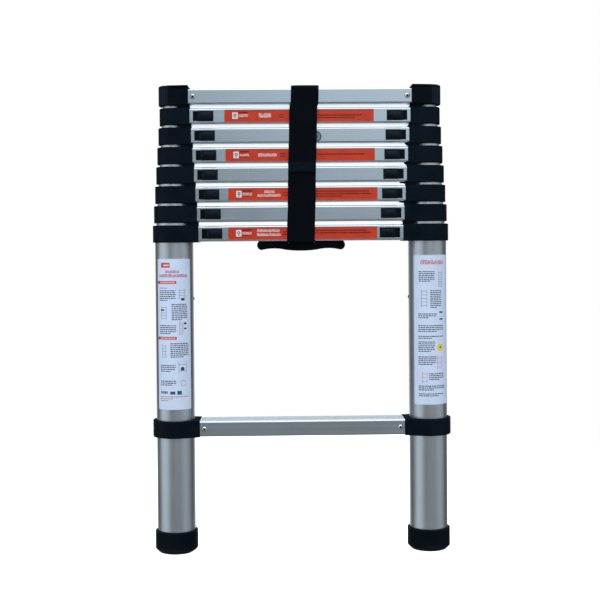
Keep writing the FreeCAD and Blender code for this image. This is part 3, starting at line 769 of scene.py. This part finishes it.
def thumb_grip(section, side, sign):
    """A domed pad on a release button, with a bowed brow along its top and three ribs inboard."""
    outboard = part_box(f"rung_{section}")[1].x - PAD_FROM_RUNG_END
    inboard = outboard - PAD_LENGTH
    z = rung_centre(section)
    face_y = RUNG_FRONT - PAD_FACE
    middle = sign * (outboard + inboard) / 2
    mesh = bmesh.new()
    domed_pad(mesh, middle, z, face_y)
    brow = []
    for n in range(17):
        share = n / 16
        x = outboard - 1.6 * MM - (PAD_LENGTH - 3.2 * MM) * share
        rise = math.sin(math.pi * (0.1 + 0.8 * share)) ** 0.6
        brow.append((sign * x, z + PAD_HALF_HEIGHT - 3.9 * MM + 2.6 * MM * rise))
    crest(mesh, brow, face_y - 0.75 * DOME_HEIGHT, 1.5 * MM, 0.5 * MM)
    for rib in range(3):
        x = inboard + (3.2 + 2.6 * rib) * MM
        reach = (4.6 - 0.5 * rib) * MM
        line = [
            (sign * (x + 0.7 * MM * (1 - (2 * n / 8 - 1) ** 2)), z - 1.4 * MM + reach * (2 * n / 8 - 1))
            for n in range(9)
        ]
        crest(mesh, line, face_y - 0.85 * DOME_HEIGHT, 1.1 * MM, 0.45 * MM)
    make_piece(
        f"thumb_grip_{section}_{side}", mesh, [GRIP], f"latch_{section}_{side}"
    )


for section in range(1, SECTIONS):
    for side, sign in SIDES:
        thumb_grip(section, side, sign)


def return_spring(section, side, sign):
    """One of the pair of springs in a rung: the half of the rung's CAD springs on one side."""
    node = f"latch_springs_{section}"
    mesh = bmesh.new()
    mesh.from_mesh(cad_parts[node].data)
    other = [vert for vert in mesh.verts if vert.co.x * sign < 0]
    bmesh.ops.delete(mesh, geom=other, context="VERTS")
    piece = make_piece(
        f"return_spring_{section}_{side}", mesh, [SPRING], body_of_section(section)
    )
    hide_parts(node)
    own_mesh(piece)


for section in range(1, SECTIONS):
    for side, sign in SIDES:
        return_spring(section, side, sign)


# ---- end tabs ------------------------------------------------------------------------------------
def end_tab(section, reach):
    """A thin moulded tab under the right end of a rung, with a tapered tip."""
    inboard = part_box(f"rung_{section}")[1].x - 6.4 * MM
    top = rung_centre(section) - 12.2 * MM
    mesh = bmesh.new()
    rings = []
    profile = ((0, 1.9, 8.0), (0.5, 1.8, 8.0), (0.85, 1.5, 7.6), (0.96, 1.1, 6.8), (1.0, 0.6, 6.0))
    for share, drop, half in profile:
        x = inboard + 0.3 * MM - (reach + 0.3) * MM * share
        outline = (
            (-half, 0.0), (half, 0.0), (half, -0.7 * drop),
            (half - 0.4, -drop), (0.4 - half, -drop), (-half, -0.7 * drop),
        )
        rings.append([(x, (y - 12.0) * MM, top + z * MM) for y, z in outline])
    closed_tube(mesh, rings)
    make_piece(f"end_tab_{section}", mesh, [COLLAR], f"section_{section}", smooth=40)


for section, reach in ((3, 9.0), (4, 10.0), (5, 5.0), (6, 5.5)):
    end_tab(section, reach)


# ---- labels --------------------------------------------------------------------------------------
INKS = [
    printed("label_white_film", (0.70, 0.80, 1.0), speck=0.05),
    printed("label_red_film", (0.61, 0.044, 0.014), speck=0.16),
    printed("label_red_ink", (0.66, 0.07, 0.05)),
    printed("label_pink_ink", (0.50, 0.09, 0.13)),
    printed("label_dark_red_ink", (0.16, 0.01, 0.006)),
    printed("label_white_ink", (0.80, 0.72, 0.72)),
    printed("label_blue_ink", (0.06, 0.10, 0.20)),
    printed("label_grey_ink", (0.045, 0.055, 0.085)),
    printed("label_yellow_ink", (0.86, 0.70, 0.03)),
    printed("dark_disc_film", (0.07, 0.10, 0.125)),
    printed("dark_disc_middle", (0.20, 0.25, 0.28)),
]
WHITE_FILM, RED_FILM, RED, PINK, DARK_RED, WHITE, BLUE, GREY, YELLOW, DARK_FILM, MIDDLE = range(len(INKS))
FILM_THICK = 0.14 * MM
INK_THICK = 0.035 * MM
SUNK = 0.01 * MM            # how far a layer of ink sinks into what it lies on


def ink_layer(under):
    """The heights off the surface of the bottom and top of ink that lies on so many layers of ink."""
    base = FILM_THICK + under * INK_THICK
    return base - SUNK, base + INK_THICK


ON_FILM, ON_INK, ON_MARK = (ink_layer(under) for under in range(3))


class Label:
    """A film label laid out flat in millimetres, from its top left corner, and placed on a surface.

    place(u, v, h) gives the point u to the right, v down and h off the surface.
    """

    def __init__(self, place, left, right, height, film, corner=1.5, seed=1):
        self.mesh = bmesh.new()
        self.place = place
        self.random = random.Random(seed)
        self.slab(left, right, 0, height, film, (0.02 * MM, FILM_THICK), corner)

    def slab(self, u0, u1, v0, v1, ink, layer=ON_FILM, corner=0.0):
        """A thin closed slab between the two heights of its layer, with rounded corners."""
        low, high = layer
        stops = {u0, u1}
        columns = max(1, math.ceil((u1 - u0) / 2.0))
        stops.update(u0 + (u1 - u0) * n / columns for n in range(columns + 1))
        if corner:
            for n in range(6):
                reach = corner * (1 - math.cos(n / 6 * math.pi / 2))
                stops.update((u0 + reach, u1 - reach))
        rings = []
        for u in sorted(stops):
            near = min(u - u0, u1 - u)
            cut = corner - math.sqrt(max(0.0, corner**2 - (corner - near) ** 2)) if near < corner else 0.0
            rings.append([
                self.place(u * MM, v * MM, h)
                for v, h in ((v0 + cut, low), (v1 - cut, low), (v1 - cut, high), (v0 + cut, high))
            ])
        closed_tube(self.mesh, rings, ink)

    def words(self, u0, u1, v, height, ink, longest=5.0, gap=0.8):
        """A row of short bars, as plain filler for a line of print."""
        u = u0
        while u < u1 - 0.8:
            end = min(u1, u + self.random.uniform(0.35 * longest, longest))
            self.slab(u, end, v, v + height, ink)
            u = end + gap

    def strokes(self, u0, u1, v, height, ink, stroke=0.75, gap=0.85):
        """A row of thin bars of uneven height, as plain filler for a heading."""
        u = u0
        while u < u1:
            drop = self.random.choice((0.0, 0.0, 0.25)) * height
            self.slab(u, u + stroke, v + drop, v + height, ink)
            if self.random.random() < 0.6:
                level = v + self.random.choice((0.0, 0.4, 0.8)) * height
                self.slab(u + stroke - 0.02, u + stroke + gap + 0.02, level, level + 0.2 * height, ink)
            u += stroke + gap

    def rows(self, u0, u1, v0, v1, pitch=2.9, ink=GREY):
        count = max(1, round((v1 - v0) / pitch))
        for n in range(count):
            last = u0 + (u1 - u0) * (self.random.uniform(0.5, 0.8) if n == count - 1 else 1.0)
            self.words(u0, last, v0 + n * pitch, pitch * 0.5, ink)

    def sketch(self, u0, u1, v0, v1, bars, ink=GREY):
        """A plain upright figure: two rails with bars between them."""
        line = 0.45
        self.slab(u0, u0 + line, v0, v1, ink)
        self.slab(u1 - line, u1, v0, v1, ink)
        for n in range(bars):
            v = v0 + (v1 - v0) * (n + 0.5) / bars
            self.slab(u0 + line, u1 - line, v, v + line, ink)

    def disc(self, u, v, radius, ink, layer=ON_FILM):
        self.slab(u - radius, u + radius, v - radius, v + radius, ink, layer, radius)

    def stick(self, name, body):
        make_piece(name, self.mesh, INKS, body, smooth=30)


def on_rung(rung, left, top):
    """Places a label on the front of a rung: left and top are from the middle of the rung."""
    z = rung_centre(rung)

    def place(u, v, h):
        return (left + u, RUNG_FRONT - h, z + top - v)

    return place


def on_tube(side, first_angle, top):
    """Wraps a label round an outer tube, from an angle right of the front."""

    def place(u, v, h):
        angle = first_angle + u / TUBE_RADIUS
        reach = TUBE_RADIUS + h
        return (side * LEG_X + reach * math.sin(angle), -reach * math.cos(angle), top - v)

    return place


RUNG_LABEL_WIDTH, RUNG_LABEL_HEIGHT = 229.0, 19.0


def rung_label(rung, left, headings, notes):
    """Red label: a white block with a plain mark, white heading bars, dark filler rows on the right.

    Headings are (from, to, down, height) and notes are (to, down).
    """
    label = Label(
        on_rung(rung, left * MM, 9.7 * MM), 0.0, RUNG_LABEL_WIDTH, RUNG_LABEL_HEIGHT, RED_FILM, 1.2, rung
    )
    label.slab(12.2, 20.6, 4.4, 14.4, WHITE, corner=0.8)
    label.disc(16.4, 8.6, 2.3, BLUE, ON_INK)
    label.disc(16.4, 8.6, 1.0, WHITE, ON_MARK)
    label.slab(15.8, 17.0, 11.2, 13.4, BLUE, ON_INK)
    label.slab(21.8, 36.0, 3.4, 5.6, DARK_RED)
    label.strokes(22.2, 35.6, 7.6, 3.8, WHITE, gap=1.05)
    label.words(22.0, 35.0, 12.8, 0.9, DARK_RED, longest=3.0)
    for start, end, v, height in headings:
        label.strokes(start, end, v, height, WHITE)
    label.words(84.0, 92.0, 6.8, 2.0, DARK_RED)
    label.words(84.0, 92.0, 10.8, 2.0, DARK_RED)
    for end, v in notes:
        label.words(134.0, end, v, 2.0, DARK_RED, longest=6.0)
    label.stick(f"rung_label_{rung}", body_of_section(rung))


rung_label(7, -116.2, [(53.0, 72.0, 5.8, 6.4)], [(211.0, 8.2), (200.0, 11.8)])
rung_label(5, -115.0, [(50.3, 79.0, 7.2, 4.8)], [(214.0, 8.0)])
rung_label(
    3, -111.2, [(55.5, 70.0, 4.0, 4.0), (45.0, 79.5, 9.6, 4.0)], [(216.0, 4.8), (219.0, 8.6), (175.0, 12.2)]
)
rung_label(1, -112.0, [(44.5, 79.5, 3.2, 4.4), (44.5, 80.0, 9.4, 4.4)], [(213.0, 5.0), (220.0, 8.6)])


def tube_label_left():
    """White label: red title block and bands, rows of filler beside plain ladder figures."""
    label = Label(on_tube(-1, math.radians(-60.0), 454 * MM), 2.8, 60.6, 231.0, WHITE_FILM, 2.0, seed=21)
    label.slab(11.0, 26.0, 6.0, 13.5, RED, corner=0.8)
    label.slab(15.5, 24.5, 8.6, 10.9, WHITE, ON_INK)
    label.strokes(19.0, 40.0, 17.6, 4.2, PINK, stroke=1.1, gap=0.9)
    label.strokes(7.0, 54.0, 23.4, 4.8, PINK, stroke=1.1, gap=0.9)
    for v in (33.8, 119.2):
        label.slab(3.4, 36.0, v, v + 4.4, RED, corner=0.6)
        label.slab(3.8, 7.4, v + 1.4, v + 3.0, GREY, (FILM_THICK, FILM_THICK + 2 * INK_THICK))
        for n in range(10):
            u = 9.2 + 2.5 * n
            label.slab(u, u + 1.7, v + 1.4, v + 3.0, WHITE, ON_INK)
    label.words(7.5, 22.0, 44.0, 1.2, PINK)
    label.rows(7.5, 35.0, 48.0, 64.0)
    label.sketch(40.0, 49.0, 46.0, 62.0, 4)
    label.slab(43.0, 49.0, 60.5, 64.0, GREY, corner=1.0)
    label.rows(28.5, 53.5, 69.0, 94.0)
    label.sketch(11.0, 20.0, 72.0, 93.0, 5)
    label.slab(10.0, 16.0, 77.0, 79.6, GREY, corner=0.6)
    label.rows(7.5, 35.0, 101.5, 115.5)
    label.sketch(40.0, 46.0, 96.5, 116.5, 7, PINK)
    label.slab(47.5, 52.0, 97.5, 100.5, GREY, corner=0.8)
    label.slab(47.5, 52.0, 105.5, 108.0, GREY, corner=0.8)
    label.rows(26.0, 55.6, 129.0, 153.0)
    label.sketch(12.0, 19.0, 131.0, 152.0, 5)
    label.rows(8.5, 34.0, 162.5, 173.0)
    label.sketch(38.5, 51.0, 157.0, 176.0, 2)
    label.disc(44.6, 168.5, 3.0, GREY)
    label.rows(8.5, 34.0, 186.5, 195.5)
    label.disc(46.0, 190.5, 4.6, PINK)
    label.disc(46.0, 190.5, 4.0, WHITE_FILM, ON_INK)
    label.words(9.0, 22.0, 202.5, 4.0, GREY, longest=2.2)
    label.slab(25.0, 33.0, 203.0, 207.5, BLUE, corner=1.0)
    label.slab(36.0, 43.0, 202.0, 208.0, BLUE, corner=1.0)
    label.words(8.0, 56.0, 210.6, 1.1, PINK)
    label.words(8.0, 30.0, 213.6, 1.1, PINK)
    label.words(8.0, 22.0, 216.6, 1.1, PINK)
    label.stick("tube_label_left", "base")


def tube_label_right():
    """White label: a red title, rows of filler, plain ladder figures and a plain yellow patch."""
    label = Label(on_tube(1, math.radians(-51.0), 457 * MM), 0.0, 61.5, 230.0, WHITE_FILM, 2.0, seed=34)
    label.strokes(12.0, 50.0, 8.0, 6.4, RED, stroke=1.2, gap=1.1)
    label.rows(9.0, 34.0, 25.0, 41.0)
    label.sketch(41.0, 47.0, 25.0, 50.0, 7)
    label.sketch(13.0, 22.0, 53.0, 80.0, 5)
    label.rows(27.0, 46.0, 54.0, 82.0)
    label.rows(8.0, 37.0, 90.0, 100.0)
    label.slab(42.0, 49.0, 87.0, 89.6, BLUE, corner=0.8)
    label.slab(42.0, 49.0, 97.5, 100.0, BLUE, corner=0.8)
    label.rows(8.0, 50.0, 108.0, 120.0)
    label.rows(8.0, 50.0, 124.5, 129.0)
    label.rows(8.0, 34.0, 133.0, 151.0)
    label.slab(38.0, 49.0, 137.0, 147.5, YELLOW, corner=4.0)
    label.disc(43.5, 142.2, 1.5, GREY, ON_INK)
    label.rows(8.0, 36.0, 156.0, 171.0)
    label.sketch(38.0, 46.0, 155.0, 176.0, 3, PINK)
    label.sketch(14.0, 22.0, 180.0, 197.0, 3, PINK)
    label.rows(24.5, 50.0, 182.0, 195.0)
    label.rows(8.0, 52.0, 201.0, 209.0)
    label.rows(8.0, 50.0, 213.0, 218.0)
    label.stick("tube_label_right", "base")


tube_label_left()
tube_label_right()


def round_dark_disc():
    """Small dark round film on rung 6, half under the strap, with a paler ring round a dark middle."""
    dark_disc = Label(on_rung(6, 15.0 * MM, 6.5 * MM), 0.0, 17.4, 17.4, DARK_FILM, corner=8.6, seed=5)
    dark_disc.disc(8.7, 8.7, 6.6, MIDDLE)
    dark_disc.disc(8.7, 8.7, 3.0, DARK_FILM, ON_INK)
    dark_disc.stick("round_dark_disc", "section_6")


round_dark_disc()


# ---- floor, light and camera ---------------------------------------------------------------------
LADDER_MIDDLE = Vector((0.0, 0.0, 0.4))


def floor():
    """A pale round sheet under the ladder, out of reflections and bounced light."""
    mesh = bmesh.new()
    turns = [n / 96 * 2 * math.pi for n in range(96)]
    rings = [
        [(radius * math.cos(turn), radius * math.sin(turn), z) for turn in turns]
        for radius, z in ((1.1, -0.02), (1.1, -0.004), (1.096, 0.0))
    ]
    closed_tube(mesh, rings)
    s = Shader("floor_pale")
    cloud = s.noise(s.place(), (2.0, 2.0, 2.0), 2.0)
    colour = s.mix(cloud, (0.90, 0.90, 0.90), (0.94, 0.94, 0.94))
    s.finish(Base_Color=colour, Roughness=0.7, Emission_Color=(1.0, 1.0, 1.0), Emission_Strength=0.9)
    sheet = make_object("floor", mesh, [s.material])
    sheet.visible_glossy = False
    sheet.visible_diffuse = False


def softbox(name, place, size, power):
    """A rectangular light aimed at the ladder, out of sight of the camera and of reflections."""
    data = bpy.data.lights.new(name, "AREA")
    data.shape = "RECTANGLE"
    data.size, data.size_y = size
    data.energy = power
    data.color = (0.92, 0.98, 1.0)
    light = bpy.data.objects.new(name, data)
    light.location = place
    light.rotation_mode = "QUATERNION"
    light.rotation_quaternion = (LADDER_MIDDLE - Vector(place)).to_track_quat("-Z", "Y")
    light.visible_camera = False
    light.visible_glossy = False
    bpy.context.scene.collection.objects.link(light)


def studio():
    """The room round the ladder: soft bright panels at the sides, above and behind, darker between."""
    world = bpy.data.worlds.new("studio")
    bpy.context.scene.world = world
    world.use_nodes = True
    world.node_tree.nodes.clear()
    add = Nodes(world.node_tree).add
    direction = add("TexCoord", {}).outputs["Generated"]

    def panels(ambient, tint, *boards):
        """Light of one tint from round panels: middle, angles to the full part and to the edge, strength.

        A dark board has a strength below nothing.
        """
        total = ambient
        for middle, full, edge, light in boards:
            centre = Vector(middle).normalized()
            facing = add("VectorMath", {0: direction, 1: centre}, operation="DOT_PRODUCT").outputs["Value"]
            low, high = math.cos(math.radians(edge)), math.cos(math.radians(full))
            inputs = {"Value": facing, "From Min": low, "From Max": high, "To Min": 0.0, "To Max": light}
            board = add("MapRange", inputs, interpolation_type="SMOOTHSTEP").outputs["Result"]
            total = add("Math", {0: board, 1: total}, operation="ADD").outputs[0]
        return add("Background", {"Color": (*tint, 1.0), "Strength": total}).outputs[0]

    cool = panels(
        0.0, (0.85, 0.985, 1.12),
        ((-0.93, -0.36, 0.05), 10, 44, 0.48),
        ((0.91, -0.41, 0.05), 8, 38, 0.23),
        ((0.20, -0.92, 0.43), 19, 27, 0.50),
    )
    neutral = panels(
        0.215, (0.97, 1.0, 1.03),
        ((0.0, -0.1, 1.0), 30, 62, 1.35),
        ((0.0, 1.0, -0.25), 14, 42, 0.92),
        ((-0.85, 0.53, 0.0), 14, 36, -0.13),
        ((0.85, 0.53, 0.0), 14, 36, -0.13),
    )
    room = add("AddShader", {0: cool, 1: neutral})
    paper = add("Background", {"Color": (1.0, 1.0, 1.0, 1.0), "Strength": 1.0})
    seen = add("LightPath", {}).outputs["Is Camera Ray"]
    mixed = add("MixShader", {0: seen, 1: room.outputs[0], 2: paper.outputs[0]})
    add("OutputWorld", {"Surface": mixed.outputs[0]})

    softbox("light_top", (0.0, -0.1, 2.3), (1.5, 1.2), 12.0)
    softbox("light_left", (-1.7, -1.1, 1.0), (0.9, 1.4), 7.4)
    softbox("light_right", (1.7, -1.0, 1.0), (0.9, 1.4), 4.9)
    softbox("light_front", (0.2, -2.2, 1.2), (1.4, 1.0), 9.5)
    softbox("light_back", (0.3, 2.0, 1.3), (1.2, 1.2), 6.7)


def camera():
    """The photograph's viewing angle: a little left of the middle, nearly level, and turned a hair."""
    data = bpy.data.cameras.new("camera")
    data.sensor_width = 36.0
    data.lens = 68.96
    data.shift_y = -0.06
    eye = bpy.data.objects.new("camera", data)
    bpy.context.scene.collection.objects.link(eye)
    yaw, pitch, roll = 0.0195, -0.0170, -0.0078
    ahead = Vector((math.sin(yaw) * math.cos(pitch), math.cos(yaw) * math.cos(pitch), math.sin(pitch)))
    level = Vector((math.cos(yaw), -math.sin(yaw), 0.0))
    upright = level.cross(ahead)
    right = level * math.cos(roll) + upright * math.sin(roll)
    up = upright * math.cos(roll) - level * math.sin(roll)
    turn = Matrix((right, up, -ahead)).transposed().to_4x4()
    eye.matrix_world = Matrix.Translation((-0.0365, -1.7867, 0.4745)) @ turn
    bpy.context.scene.camera = eye


floor()
studio()
camera()
bpy.context.scene.view_settings.view_transform = "Standard"
